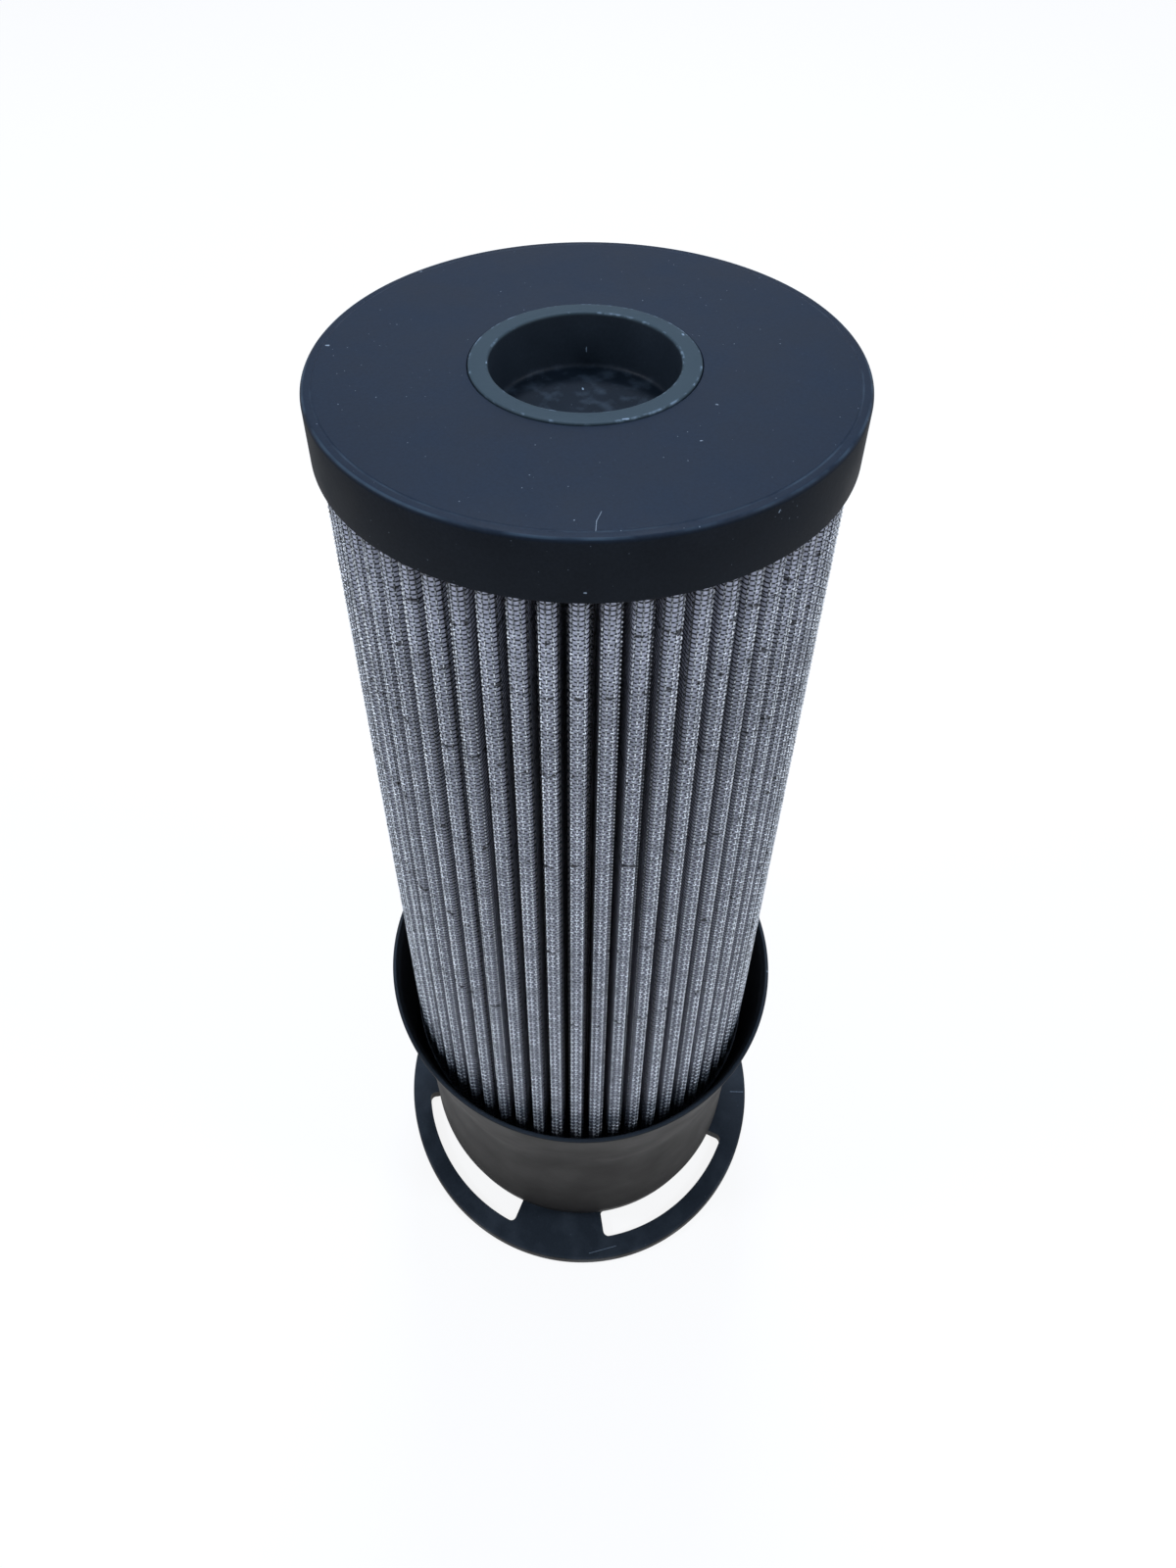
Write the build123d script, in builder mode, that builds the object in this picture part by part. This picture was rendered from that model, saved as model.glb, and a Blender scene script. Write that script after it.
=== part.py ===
import os
from math import acos, atan2, cos, hypot, pi, radians, sin, sqrt, tan

from build123d import *

os.makedirs("parts", exist_ok=True)

# Hydraulic return-line filter element: a pleated pack of wire cloth and glass-fibre mat round
# a support tube, potted between an upper end cap and a lower one, with a catch cup at its foot.
# Millimetres. Z runs up the axis, and z = 0 is the underside of the catch cup's flange.

# Upper end cap
cap_face_height = 253.5
cap_radius = 45.0
cap_depth = 11.3
cap_skirt_wall = 1.1
cap_plate_thickness = 2.5
cap_edge_chamfer = 0.6

# Locating plug in the middle of the cap
plug_inset = 8.7
plug_wall = 3.25
plug_proud = 0.3
recess_depth = 10.4
recess_mouth_chamfer = 0.3
plug_floor_thickness = 2.0
plug_lip_width = 2.8
plug_lip_thickness = 1.5
plug_clearance = 0.1

# Pleat pack
pleat_pitch = 4.44
pleat_depth = 14.9
pleat_clearance = 0.1
pleat_crest_radius = 1.85
pleat_valley_radius = 0.2
first_crest_angle = -38.8
crest_drift = 1.3
outer_mesh_thickness = 0.35
outer_mesh_crest_facets = 5
media_thickness = 0.75
media_crease_angle = 60.0
sheet_gap = 0.06
fold_room = 0.1
potting_thickness = 2.5
resin_thickness = 2.0

# Side seam of the folded sheet, in the valley opposite the first crest
seam_start = 0.12
seam_clearance = 0.04

# Support tube
core_wall = 1.5
core_clearance = 0.2
window_columns = 6
window_rows = 4
window_angle = 38.0
window_ring_height = 9.1

# Catch cup
rim_height = 77.1
rim_reach = 5.7
flare_depth = 29.0
waist_inset = 0.4
cup_draft = 1.0
cup_wall = 1.4
shoulder_radius = 11.7
shoulder_facets = 3
shoulder_sink = 0.4
flange_overhang = 1.5
flange_thickness = 3.0
flange_edge_chamfer = 0.5
slot_count = 4
slot_margin = 5.1
slot_width = 7.4
slot_angle = 57.7
slot_corner_radius = 1.4

# Lower end cap with the outlet neck
plate_height = 55.5
plate_thickness = 2.5
plate_clearance = 0.12
outlet_step = 6.4
outlet_lead_in = 1.0
neck_wall = 4.6
spigot_wall = 3.4
spigot_clearance = 0.1
rib_count = 6
rib_thickness = 1.6
rib_reach = 12.0
rib_drop = 22.0
rib_overlap = 0.3

# Outlet seal
seal_proud = 0.2
seal_height = 3.2
seal_groove_height = 3.6
seal_groove_depth = 2.3
seal_groove_offset = 1.6
seal_seat_clearance = 0.05

# Radii and heights worked out from the sizes above
skirt_inner_radius = cap_radius - cap_skirt_wall
pleat_radius = skirt_inner_radius - pleat_clearance
cap_plate_underside = cap_face_height - cap_plate_thickness
pack_top = cap_plate_underside - potting_thickness
plate_top = plate_height + plate_thickness
pack_bottom = plate_top + resin_thickness
core_radius = pleat_radius - pleat_depth
core_inner_radius = core_radius - core_wall
plug_radius = core_inner_radius - plug_inset
recess_radius = plug_radius - plug_wall
outlet_radius = core_inner_radius - outlet_step
neck_radius = outlet_radius + neck_wall
spigot_radius = outlet_radius + spigot_wall
rim_radius = pleat_radius + rim_reach
waist_radius = pleat_radius - waist_inset
flange_radius = rim_radius + flange_overhang
slot_outer_radius = flange_radius - slot_margin
slot_inner_radius = slot_outer_radius - slot_width
flare_foot_height = rim_height - flare_depth
shoulder_centre_height = flange_thickness - shoulder_sink + shoulder_radius
cup_floor_height = shoulder_centre_height - shoulder_radius + cup_wall
foot_radius = waist_radius - (flare_foot_height - shoulder_centre_height) * tan(radians(cup_draft))
flare_slope = (rim_radius - waist_radius) / flare_depth
flare_wall = cup_wall * sqrt(1 + flare_slope**2)


def cup_inside_radius(height):
    """Radius of the catch cup's inner wall at a height in its flare or its drafted wall."""
    if height > flare_foot_height:
        return waist_radius + (height - flare_foot_height) * flare_slope - flare_wall
    return waist_radius - (flare_foot_height - height) * tan(radians(cup_draft)) - cup_wall


# Upper end cap: a plate with a skirt over the pleats' ends
with BuildPart() as top_end_cap:
    with BuildSketch(Plane.XZ):
        with BuildLine():
            Polyline(
                (plug_radius + plug_clearance, cap_plate_underside),
                (plug_radius + plug_clearance, cap_face_height),
                (cap_radius, cap_face_height),
                (cap_radius, cap_face_height - cap_depth),
                (skirt_inner_radius, cap_face_height - cap_depth),
                (skirt_inner_radius, cap_plate_underside),
                close=True,
            )
        make_face()
    revolve(axis=Axis.Z)
    face_edges = top_end_cap.edges().filter_by(GeomType.CIRCLE).group_by(Axis.Z)[-1]
    chamfer(face_edges.sort_by(SortBy.RADIUS)[-1], length=cap_edge_chamfer)
top_end_cap.part.label = "top_end_cap"
export_step(top_end_cap.part, "parts/top_end_cap.step")

# Locating plug: a turned cup that stands in the cap's hole, held by a lip under the plate
plug_top = cap_face_height + plug_proud
recess_floor_height = plug_top - recess_depth
with BuildPart() as locating_plug:
    with BuildSketch(Plane.XZ):
        with BuildLine():
            Polyline(
                (0, recess_floor_height - plug_floor_thickness),
                (plug_radius, recess_floor_height - plug_floor_thickness),
                (plug_radius, cap_plate_underside - plug_lip_thickness),
                (plug_radius + plug_lip_width, cap_plate_underside - plug_lip_thickness),
                (plug_radius + plug_lip_width, cap_plate_underside),
                (plug_radius, cap_plate_underside),
                (plug_radius, plug_top),
                (recess_radius, plug_top),
                (recess_radius, recess_floor_height),
                (0, recess_floor_height),
                close=True,
            )
        make_face()
    revolve(axis=Axis.Z)
    mouth_edges = locating_plug.edges().filter_by(GeomType.CIRCLE).group_by(Axis.Z)[-1]
    chamfer(mouth_edges, length=recess_mouth_chamfer)
locating_plug.part.label = "locating_plug"
export_step(locating_plug.part, "parts/locating_plug.step")


# Pleats: the crest of a sheet is an arc in a few facets, its valley is square, and the flank
# between them is straight. A surface deeper in the stack keeps the same centres. As many pleats
# stand in the ring as the pitch gives at the crests and as the folded stack has room for at the
# support tube.
stack_thickness = outer_mesh_thickness + sheet_gap + media_thickness
folded_width = 2 * (pleat_valley_radius + stack_thickness) + fold_room
pleat_count = min(
    round(2 * pi * pleat_radius / pleat_pitch),
    int(2 * pi * (core_radius + core_clearance) / folded_width),
)
half_pitch = pi / pleat_count
crest_centre_radius = pleat_radius - pleat_crest_radius
valley_centre_radius = core_radius + core_clearance + pleat_valley_radius + stack_thickness
crest_centre = (crest_centre_radius, 0)
valley_centre = (
    valley_centre_radius * cos(half_pitch),
    valley_centre_radius * sin(half_pitch),
)
centre_distance = hypot(valley_centre[0] - crest_centre[0], valley_centre[1])
centre_direction = atan2(valley_centre[1], valley_centre[0] - crest_centre[0])
flank_direction = centre_direction - acos(
    (pleat_crest_radius + pleat_valley_radius) / centre_distance
)
flank_normal = (cos(flank_direction), sin(flank_direction))


def turned(point, angle):
    """A point turned about the axis by an angle in radians."""
    return (
        point[0] * cos(angle) - point[1] * sin(angle),
        point[0] * sin(angle) + point[1] * cos(angle),
    )


def mirrored(point, about):
    """A point mirrored in the radial line at an angle in radians."""
    x, y = turned(point, -about)
    return turned((x, -y), about)


def valley_corner(depth):
    """Where the flank of the surface at this depth meets the valley's floor."""
    reach = pleat_valley_radius + depth
    return (
        valley_centre[0] - reach * (flank_normal[0] + cos(half_pitch)),
        valley_centre[1] - reach * (flank_normal[1] + sin(half_pitch)),
    )


def crest_angle(pleat):
    """Where a crest stands: even spacing, with a slow drift that comes twice in a turn."""
    even = pleat * 2 * half_pitch
    return radians(first_crest_angle) + even + radians(crest_drift) * sin(2 * even)


def folds(depth, crest_reach, crest_facets):
    """Closed outline of a folded surface whose crests span plus and minus crest_reach."""
    radius = pleat_crest_radius - depth
    points = []
    for pleat in range(pleat_count):
        angle = crest_angle(pleat)
        for step in range(crest_facets + 1):
            around = crest_reach * (2 * step / crest_facets - 1)
            crest_point = (crest_centre[0] + radius * cos(around), radius * sin(around))
            points.append(turned(crest_point, angle))
        points.append(turned(valley_corner(depth), angle))
        points.append(turned(mirrored(valley_corner(depth), half_pitch), angle))
    Polyline(*points, close=True)


# Outer wire mesh: the woven cloth that shows, with round crests
with BuildPart() as outer_wire_mesh:
    with BuildSketch(Plane.XY.offset(pack_bottom)):
        with BuildLine():
            folds(0, flank_direction, outer_mesh_crest_facets)
        make_face()
        with BuildLine():
            folds(outer_mesh_thickness, flank_direction, outer_mesh_crest_facets)
        make_face(mode=Mode.SUBTRACT)
    extrude(amount=pack_top - pack_bottom)
outer_wire_mesh.part.label = "outer_wire_mesh"
export_step(outer_wire_mesh.part, "parts/outer_wire_mesh.step")

# Filter media: the glass-fibre mat between its fleeces, folded inside the mesh, with one flat
# at each crest
media_depth = outer_mesh_thickness + sheet_gap
with BuildPart() as filter_media:
    with BuildSketch(Plane.XY.offset(pack_bottom)):
        with BuildLine():
            folds(media_depth, radians(media_crease_angle), 1)
        make_face()
        with BuildLine():
            folds(media_depth + media_thickness, radians(media_crease_angle), 1)
        make_face(mode=Mode.SUBTRACT)
    extrude(amount=pack_top - pack_bottom)
filter_media.part.label = "filter_media"
export_step(filter_media.part, "parts/filter_media.step")

# Side seam: a bead of adhesive that fills one valley between two crests
seam_angle = crest_angle(pleat_count // 2)


def seam_corner(along):
    """A corner of the bead, a share of the way down the flank and just clear of it."""
    start = (
        crest_centre[0] + pleat_crest_radius * flank_normal[0],
        pleat_crest_radius * flank_normal[1],
    )
    end = valley_corner(0)
    return (
        start[0] + along * (end[0] - start[0]) + seam_clearance * flank_normal[0],
        start[1] + along * (end[1] - start[1]) + seam_clearance * flank_normal[1],
    )


with BuildPart() as pleat_seam:
    with BuildSketch(Plane.XY.offset(pack_bottom)):
        with BuildLine():
            Polyline(
                turned(seam_corner(seam_start), seam_angle),
                turned(seam_corner(1), seam_angle),
                turned(mirrored(seam_corner(1), half_pitch), seam_angle),
                turned(mirrored(seam_corner(seam_start), half_pitch), seam_angle),
                close=True,
            )
        make_face()
    extrude(amount=pack_top - pack_bottom)
pleat_seam.part.label = "pleat_seam"
export_step(pleat_seam.part, "parts/pleat_seam.step")

# Support tube: a moulded cage with rows of windows, whose ends stand in the potting
window_width = 2 * core_radius * sin(radians(window_angle / 2))
window_sagitta = core_inner_radius * (1 - cos(radians(window_angle / 2)))
window_cutter_depth = 2 * (core_wall + window_sagitta)
row_pitch = (pack_top - pack_bottom) / window_rows
window_height = row_pitch - window_ring_height
with BuildPart() as core_tube:
    with BuildSketch(Plane.XY.offset(plate_top)):
        Circle(core_radius)
        Circle(core_inner_radius, mode=Mode.SUBTRACT)
    extrude(amount=cap_plate_underside - plate_top)
    for row in range(window_rows):
        window_centre_height = pack_bottom + (row + 0.5) * row_pitch
        with PolarLocations(0, window_columns):
            with Locations((core_inner_radius, 0, window_centre_height)):
                Box(window_cutter_depth, window_width, window_height, mode=Mode.SUBTRACT)
core_tube.part.label = "core_tube"
export_step(core_tube.part, "parts/core_tube.step")

# Potting under the upper cap's plate, cast between the skirt and the support tube
with BuildPart() as top_adhesive:
    with BuildSketch(Plane.XY.offset(pack_top)):
        Circle(skirt_inner_radius)
        Circle(core_radius, mode=Mode.SUBTRACT)
    extrude(amount=potting_thickness)
top_adhesive.part.label = "top_adhesive"
export_step(top_adhesive.part, "parts/top_adhesive.step")

# Resin on the lower cap's plate
with BuildPart() as bottom_adhesive:
    with BuildSketch(Plane.XY.offset(plate_top)):
        Circle(cup_inside_radius(plate_top) - plate_clearance)
        Circle(core_radius, mode=Mode.SUBTRACT)
    extrude(amount=resin_thickness)
bottom_adhesive.part.label = "bottom_adhesive"
export_step(bottom_adhesive.part, "parts/bottom_adhesive.step")

# Lower end cap: a plate that seats in the cup's flare, and the outlet neck, which steps in to a
# spigot through the cup's floor
seal_groove_floor = cup_floor_height + seal_groove_offset
with BuildPart() as bottom_end_cap:
    with BuildSketch(Plane.XZ):
        with BuildLine():
            Polyline(
                (outlet_radius, 0),
                (spigot_radius, 0),
                (spigot_radius, cup_floor_height),
                (neck_radius, cup_floor_height),
                (neck_radius, plate_height),
                (cup_inside_radius(plate_height) - plate_clearance, plate_height),
                (cup_inside_radius(plate_top) - plate_clearance, plate_top),
                (outlet_radius, plate_top),
                close=True,
            )
        make_face()
        groove_middle = seal_groove_floor + seal_groove_height / 2
        with Locations((outlet_radius, groove_middle)):
            Rectangle(2 * seal_groove_depth, seal_groove_height, mode=Mode.SUBTRACT)
    revolve(axis=Axis.Z)
    lead_in_edge = (
        bottom_end_cap.edges().filter_by(GeomType.CIRCLE).group_by(Axis.Z)[0].sort_by(
            SortBy.RADIUS
        )[0]
    )
    chamfer(lead_in_edge, length=outlet_lead_in)
    for rib in range(rib_count):
        rib_plane = Plane.XZ.rotated((0, 0, (rib + 0.5) * 360 / rib_count))
        with BuildSketch(rib_plane):
            with BuildLine():
                Polyline(
                    (neck_radius - rib_overlap, plate_height + rib_overlap),
                    (neck_radius + rib_reach, plate_height + rib_overlap),
                    (neck_radius + rib_reach, plate_height - rib_thickness),
                    (neck_radius - rib_overlap, plate_height - rib_drop),
                    close=True,
                )
            make_face()
        extrude(amount=rib_thickness / 2, both=True)
bottom_end_cap.part.label = "bottom_end_cap"
export_step(bottom_end_cap.part, "parts/bottom_end_cap.step")

# Outlet seal: a square-cut ring that stands a little proud of the outlet bore
seal_outer_radius = outlet_radius + seal_groove_depth - seal_seat_clearance
with BuildPart() as outlet_seal:
    with BuildSketch(Plane.XY.offset(groove_middle)):
        Circle(seal_outer_radius)
        Circle(outlet_radius - seal_proud, mode=Mode.SUBTRACT)
    extrude(amount=seal_height / 2, both=True)
outlet_seal.part.label = "outlet_seal"
export_step(outlet_seal.part, "parts/outlet_seal.step")


# Catch cup: flared rim, drafted wall and round shoulder in one shell, on a slotted flange
def cup_outline(inset):
    """Half section of the cup's outside, or of its hollow where inset is the wall."""
    flare_inset = inset * sqrt(1 + flare_slope**2)
    shoulder = shoulder_radius - inset
    points = [(0, rim_height), (rim_radius - flare_inset, rim_height)]
    points.append((waist_radius - (flare_inset + inset) / 2, flare_foot_height))
    for step in range(shoulder_facets + 1):
        around = radians(90) * step / shoulder_facets
        points.append((
            foot_radius - shoulder_radius + shoulder * cos(around),
            shoulder_centre_height - shoulder * sin(around),
        ))
    points.append((0, shoulder_centre_height - shoulder))
    Polyline(*points, close=True)


with BuildPart() as catch_cup:
    with BuildSketch():
        Circle(flange_radius)
    extrude(amount=flange_thickness)
    chamfer(catch_cup.edges().group_by(Axis.Z)[-1], length=flange_edge_chamfer)
    with BuildSketch(Plane.XZ):
        with BuildLine():
            cup_outline(0)
        make_face()
    revolve(axis=Axis.Z)
    with BuildSketch(Plane.XZ):
        with BuildLine():
            cup_outline(cup_wall)
        make_face()
    revolve(axis=Axis.Z, mode=Mode.SUBTRACT)
    with BuildSketch():
        Circle(spigot_radius + spigot_clearance)
    extrude(amount=cup_floor_height, mode=Mode.SUBTRACT)
    with BuildSketch():
        Circle(slot_outer_radius)
        Circle(slot_inner_radius, mode=Mode.SUBTRACT)
        spoke_angle = 360 / slot_count - slot_angle
        with PolarLocations(0, slot_count, start_angle=180 / slot_count):
            Polygon(
                (0, 0),
                (flange_radius, -flange_radius * tan(radians(spoke_angle / 2))),
                (flange_radius, flange_radius * tan(radians(spoke_angle / 2))),
                align=None,
                mode=Mode.SUBTRACT,
            )
        fillet(vertices(), radius=slot_corner_radius)
    extrude(amount=flange_thickness, mode=Mode.SUBTRACT)
catch_cup.part.label = "catch_cup"
export_step(catch_cup.part, "parts/catch_cup.step")

pieces = [
    top_end_cap, locating_plug, outer_wire_mesh, filter_media, pleat_seam, core_tube,
    top_adhesive, bottom_adhesive, bottom_end_cap, outlet_seal, catch_cup,
]
for piece in pieces:
    print(piece.part.label, "volume", round(piece.part.volume / 1000, 2), "cm3")
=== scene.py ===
# %% [markdown]
# # A pleated filter element with a catch cup
# The real object is a hydraulic return-line filter element: black moulded caps, a tall pack of
# pleated wire cloth over pale fleece, and a black catch cup with a slotted flange at its foot.
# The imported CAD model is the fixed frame. This script gives it the finer shapes and the finishes
# that the eye meets first, then sets the camera, the light and the floor.

# %% Load the frame
from math import acos, atan2, ceil, cos, pi, radians, sin, tan

import bmesh
import bpy
import numpy as np
from mathutils import Matrix, Vector


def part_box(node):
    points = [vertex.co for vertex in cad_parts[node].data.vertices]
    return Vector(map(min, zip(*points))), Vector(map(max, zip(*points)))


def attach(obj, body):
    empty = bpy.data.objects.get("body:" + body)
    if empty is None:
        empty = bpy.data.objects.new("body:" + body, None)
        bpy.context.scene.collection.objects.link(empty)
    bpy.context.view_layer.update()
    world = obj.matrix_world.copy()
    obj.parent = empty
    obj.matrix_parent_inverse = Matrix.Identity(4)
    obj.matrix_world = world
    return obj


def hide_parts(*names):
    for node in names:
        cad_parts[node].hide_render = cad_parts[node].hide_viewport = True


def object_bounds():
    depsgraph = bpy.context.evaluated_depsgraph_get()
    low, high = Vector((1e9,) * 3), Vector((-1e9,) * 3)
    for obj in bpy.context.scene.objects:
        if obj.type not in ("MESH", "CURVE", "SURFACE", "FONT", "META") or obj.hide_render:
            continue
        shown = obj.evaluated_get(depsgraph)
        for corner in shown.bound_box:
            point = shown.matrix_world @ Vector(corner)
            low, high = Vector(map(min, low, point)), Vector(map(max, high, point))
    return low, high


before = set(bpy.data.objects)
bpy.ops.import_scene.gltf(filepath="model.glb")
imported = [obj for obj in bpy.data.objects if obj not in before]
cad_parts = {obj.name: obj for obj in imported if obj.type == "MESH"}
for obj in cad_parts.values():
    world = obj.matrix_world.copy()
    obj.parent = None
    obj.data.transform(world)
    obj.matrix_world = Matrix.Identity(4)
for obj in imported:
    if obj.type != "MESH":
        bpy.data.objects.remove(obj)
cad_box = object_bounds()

MM = 0.001
print("CAD box in mm:", [round(v / MM, 1) for corner in cad_box for v in corner])

# %% [markdown]
# ## Sizes that come from the frame
# A piece that stands for a CAD node has to keep that node's place. So the main radii and heights
# are read from the nodes' boxes, and only what a box can't tell is given here.

# %% Read the main sizes in millimetres
def span(node):
    """Outer radius, lowest and highest level of a turned node, in millimetres."""
    low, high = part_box(node)
    return high.x / MM, low.z / MM, high.z / MM


cap_radius, cap_foot, cap_face = span("top_end_cap")
plug_lip_radius, plug_foot, plug_top = span("locating_plug")
flange_radius, _, rim_height = span("catch_cup")
pack_bottom = span("outer_wire_mesh")[1]
pack_top = span("outer_wire_mesh")[2]
print("cap", cap_radius, cap_foot, cap_face, "rim", rim_height, "pack", pack_bottom, pack_top)

# %% [markdown]
# ## Colour and node helpers
# Colours are written as sRGB hex, as a paint chart gives them. Blender's shaders want linear
# light, so one function converts them. A second adds a shader node with its settings and links.

# %% Colour and node helpers
def colour(hex_text):
    """Linear RGBA from an sRGB hex value such as 2b3036."""
    channels = [int(hex_text[i:i + 2], 16) / 255 for i in (0, 2, 4)]
    linear = [c / 12.92 if c <= 0.04045 else ((c + 0.055) / 1.055) ** 2.4 for c in channels]
    return (*linear, 1.0)


def add_node(tree, kind, settings=None, inputs=None):
    """A new node with its settings; inputs are plain values or other nodes' output sockets."""
    node = tree.nodes.new(kind)
    for key, value in (settings or {}).items():
        setattr(node, key, value)
    for socket, value in (inputs or {}).items():
        if isinstance(value, bpy.types.NodeSocket):
            tree.links.new(value, node.inputs[socket])
        else:
            node.inputs[socket].default_value = value
    return node


def new_material(name):
    """An empty node material and its tree."""
    material = bpy.data.materials.new(name)
    material.use_nodes = True
    material.node_tree.nodes.clear()
    return material, material.node_tree


def per_mm(size):
    """Texture scale at which one feature is about this many millimetres wide."""
    return 1 / (size * MM)


MIX_FACTOR, MIX_A, MIX_B, MIX_OUT = 0, 6, 7, 2
RGBA_MIX = {"data_type": "RGBA"}

# %% [markdown]
# ## Turned pieces
# The caps, the plug and the cup are round about one axis, so each is a closed half section that
# is swept round it. Real mouldings have no sharp corners: each corner of a section carries its own
# small radius, because those rounded edges catch the light lines that the eye reads as plastic.

# %% Helpers for turned pieces
def rounded(section, steps=5):
    """A closed section whose corners (radius, height, fillet) are turned into short arcs."""
    points = []
    for i, (r, z, fillet) in enumerate(section):
        corner = Vector((r, z))
        if fillet == 0:
            points.append(corner)
            continue
        before = (Vector(section[i - 1][:2]) - corner).normalized()
        after = (Vector(section[(i + 1) % len(section)][:2]) - corner).normalized()
        half = acos(max(-1, min(1, before.dot(after)))) / 2
        centre = corner + (before + after).normalized() * fillet / sin(half)
        start = corner + before * fillet / tan(half) - centre
        end = corner + after * fillet / tan(half) - centre
        turn = atan2(start.x * end.y - start.y * end.x, start.dot(end))
        for step in range(steps + 1):
            angle = turn * step / steps
            points.append(centre + Vector((
                start.x * cos(angle) - start.y * sin(angle),
                start.x * sin(angle) + start.y * cos(angle),
            )))
    return points


def place(name, mesh, replaced=(), body="root"):
    """Links a mesh as a piece of the part under its body, and hides the nodes it stands for."""
    piece = bpy.data.objects.new(name, mesh)
    bpy.context.scene.collection.objects.link(piece)
    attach(piece, body)
    if replaced:
        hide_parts(*replaced)
    print(name, "faces:", len(mesh.polygons))
    return piece


def smooth(mesh, limit=35):
    """Smooth shading that keeps edges sharper than the limit crisp."""
    mesh.shade_smooth()
    mesh.set_sharp_from_angle(angle=radians(limit))


def turned_mesh(name, section, segments=288):
    """A solid of revolution from a closed section in millimetres, listed anticlockwise."""
    rings, vertices = [], []
    for point in section:
        if point.x < 1e-6:
            rings.append([len(vertices)] * segments)
            vertices.append((0, 0, point.y * MM))
            continue
        rings.append(list(range(len(vertices), len(vertices) + segments)))
        for k in range(segments):
            angle = 2 * pi * k / segments
            vertices.append((point.x * cos(angle) * MM, point.x * sin(angle) * MM, point.y * MM))
    faces = []
    for i, ring in enumerate(rings):
        above = rings[(i + 1) % len(rings)]
        if ring[0] == ring[1] and above[0] == above[1]:
            continue
        for k in range(segments):
            n = (k + 1) % segments
            corners = [ring[k], ring[n], above[n], above[k]]
            faces.append([c for j, c in enumerate(corners) if c not in corners[:j]])
    mesh = bpy.data.meshes.new(name)
    mesh.from_pydata(vertices, [], faces)
    mesh.validate()
    smooth(mesh)
    return mesh


# %% [markdown]
# ## Upper end cap
# A plate with a short skirt, injection moulded in black glass-filled nylon. Its edge is rounded
# by a little under a millimetre and a faint step runs just inside it. A bevelled cylinder would
# give one radius to every edge, but a turned section gives each its own.

# %% Upper end cap
plug_radius = 18.7
cap_hole_radius = plug_radius + 0.1
cap_underside = cap_face - 2.5
skirt_inner_radius = cap_radius - 1.1
edge_step_radius = cap_radius - 1.7
edge_step_drop = 0.09

cap_section = rounded([
    (cap_hole_radius, cap_underside, 0),
    (skirt_inner_radius, cap_underside, 0.4),
    (skirt_inner_radius, cap_foot, 0.2),
    (cap_radius, cap_foot, 0.3),
    (cap_radius, cap_face - edge_step_drop, 0.75),
    (edge_step_radius, cap_face - edge_step_drop, 0.05),
    (edge_step_radius - 0.25, cap_face, 0.1),
    (cap_hole_radius, cap_face, 0.18),
])
top_cap = place(
    "top_cap_moulding", turned_mesh("top_cap_moulding", cap_section),
    ["top_end_cap"],
)

# %% [markdown]
# ## Locating plug
# A separate ring-shaped cup stands in the cap's hole. It is a touch proud, so a fine dark groove
# runs round it, and its blind recess has a rounded floor. It is turned like the cap, so the
# groove between the two is a real gap and not a painted line.

# %% Locating plug
recess_radius = 15.45
recess_floor = plug_top - 10.4
plug_lip_top = cap_underside
plug_section = rounded([
    (0, plug_foot, 0),
    (plug_radius, plug_foot, 0.5),
    (plug_radius, plug_lip_top - 1.5, 0),
    (plug_lip_radius, plug_lip_top - 1.5, 0.2),
    (plug_lip_radius, plug_lip_top, 0.2),
    (plug_radius, plug_lip_top, 0),
    (plug_radius, plug_top, 0.3),
    (recess_radius, plug_top, 0.45),
    (recess_radius, recess_floor, 0.9),
    (0, recess_floor, 0),
])
plug = place(
    "plug_moulding", turned_mesh("plug_moulding", plug_section),
    ["locating_plug"],
)

# %% [markdown]
# ## Catch cup
# One black moulding: a flared cup that catches dirt when the element is drawn out, on a flat
# flange with four long slots. The cup is turned. The slots are cut from a turned flange with
# four rounded cutters, which gives clean corners all the way through.

# %% Catch cup section
flare_foot = rim_height - 29.0
waist_radius = 43.4
cup_wall = 1.4
rim_radius = 49.5
rim_lip_width = 0.95
flare_fillet = 25.0
shoulder_centre = 14.3
shoulder_radius = 11.7
foot_radius = waist_radius - (flare_foot - shoulder_centre) * tan(radians(1.0))
flange_top = 3.0
cup_floor = shoulder_centre - shoulder_radius + cup_wall
spigot_hole_radius = 24.5
slot_inner_radius = 38.5
slot_outer_radius = 45.9
slot_corner_radius = 1.4
slot_half_angle = radians(57.7 / 2)

cup_section = rounded([
    (spigot_hole_radius, 0.0, 0.2),
    (flange_radius, 0.0, 0.5),
    (flange_radius, flange_top, 0.6),
    (foot_radius - 4.4, flange_top, 0.6),
    (foot_radius - shoulder_radius * (1 - cos(radians(52))),
     shoulder_centre - shoulder_radius * sin(radians(52)), 4.0),
    (foot_radius - shoulder_radius * (1 - cos(radians(26))),
     shoulder_centre - shoulder_radius * sin(radians(26)), 4.0),
    (foot_radius, shoulder_centre, 4.0),
    (waist_radius, flare_foot, flare_fillet),
    (rim_radius, rim_height, 0.35),
    (rim_radius - rim_lip_width, rim_height, 0.35),
    (rim_radius - 2 * rim_lip_width, rim_height - 2.4, 2.0),
    (waist_radius - 1.42, flare_foot, flare_fillet),
    (foot_radius - cup_wall, shoulder_centre, 5.0),
    (foot_radius - 4.5, cup_floor + 1.9, 5.0),
    (foot_radius - shoulder_radius, cup_floor, 3.0),
    (spigot_hole_radius, cup_floor, 0.2),
])
cup_mesh = turned_mesh("catch_cup_moulding", cup_section)


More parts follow.
